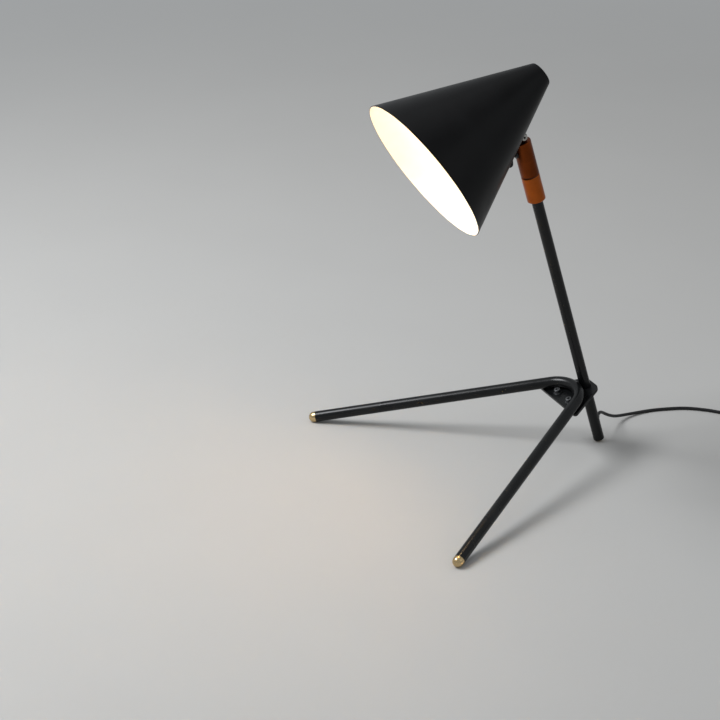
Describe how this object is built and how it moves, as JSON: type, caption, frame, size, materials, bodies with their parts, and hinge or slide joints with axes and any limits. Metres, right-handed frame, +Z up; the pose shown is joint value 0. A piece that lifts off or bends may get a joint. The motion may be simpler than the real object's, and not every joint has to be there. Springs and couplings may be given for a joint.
{
  "type": "table lamp",
  "caption": "Table lamp with a leaning black pole, a bent-tube tripod with brass feet, a brass swivel knuckle, a tilting conical shade with a bulb, and a cord with switch and plug",
  "frame": {"origin": "the point where the foot of the pole stands on the table", "axes": "+Z up, +X the way the pole leans and the shade points, +Y across the two front legs"},
  "size_m": [0.5454, 0.3658, 0.4496],
  "materials": {
    "black_paint": "satin black paint",
    "brass": "satin brass",
    "copper_brass": "brushed copper-toned brass",
    "zinc_steel": "zinc-plated",
    "fibre": "dark fibre washer",
    "black_pvc": "satin flexible PVC",
    "black_plastic": "fine matte",
    "rocker_plastic": "semi-gloss",
    "bakelite": "moulded dark phenolic",
    "opal_glass": "frosted opal"
  },
  "bodies": {
    "stand": {"pole_tube": "black_paint", "pole_foot": "brass", "cord_grommet": "black_pvc", "pole_lead": "black_pvc", "leg_frame": "black_paint", "leg_tips": "brass", "hub_plate": "black_paint", "pole_flange": "black_paint", "hub_screws": "zinc_steel", "hub_washers": "zinc_steel", "hub_nuts": "zinc_steel", "knuckle_sleeve": "copper_brass", "sleeve_screw": "zinc_steel", "swivel_spindle": "zinc_steel", "swivel_washer": "fibre", "stop_pin": "zinc_steel", "spring_washer": "zinc_steel", "spindle_nut": "zinc_steel", "cord_run": "black_pvc", "switch_base": "black_plastic", "switch_cover": "black_plastic", "cord_coil": "black_pvc", "coil_tie": "black_plastic", "plug_body": "black_plastic", "plug_pins": "zinc_steel"},
    "head": {"knuckle_head": "copper_brass", "hinge_eye": "copper_brass", "lead_bush": "black_pvc", "flex_lead": "black_pvc"},
    "shade": {"shade_bracket": "black_paint", "bracket_rivets": "black_paint", "hinge_screw": "zinc_steel", "hinge_nut": "zinc_steel", "hinge_washers": "fibre", "shade_shell": "black_paint", "end_cap": "black_paint", "shade_grommet": "black_pvc", "shade_lead": "black_pvc", "holder_nipple": "zinc_steel", "nipple_nut": "zinc_steel", "holder_cap": "bakelite", "holder_body": "bakelite", "holder_shell": "brass", "holder_contact": "brass", "bulb_cap": "zinc_steel", "bulb_glass": "opal_glass"},
    "rocker": {"switch_rocker": "rocker_plastic"}
  },
  "joints": [
    {"name": "head_swivel", "type": "hinge", "parent": "stand", "child": "head", "pos_m": [0.09844, 0, 0.33056], "axis": [0.289, 0, 0.9573], "range_deg": [-155, 155]},
    {"name": "shade_tilt", "type": "hinge", "parent": "head", "child": "shade", "pos_m": [0.1103, -0.00005, 0.37503], "axis": [-0.0334, 0.9994, 0.0101], "range_deg": [-50, 10], "deforming": ["flex_lead"]},
    {"name": "switch_rock", "type": "hinge", "parent": "stand", "child": "rocker", "pos_m": [-0.198, 0.0465, 0.01], "axis": [-0.7547, -0.6561, 0], "range_deg": [-16, 0]}
  ]
}
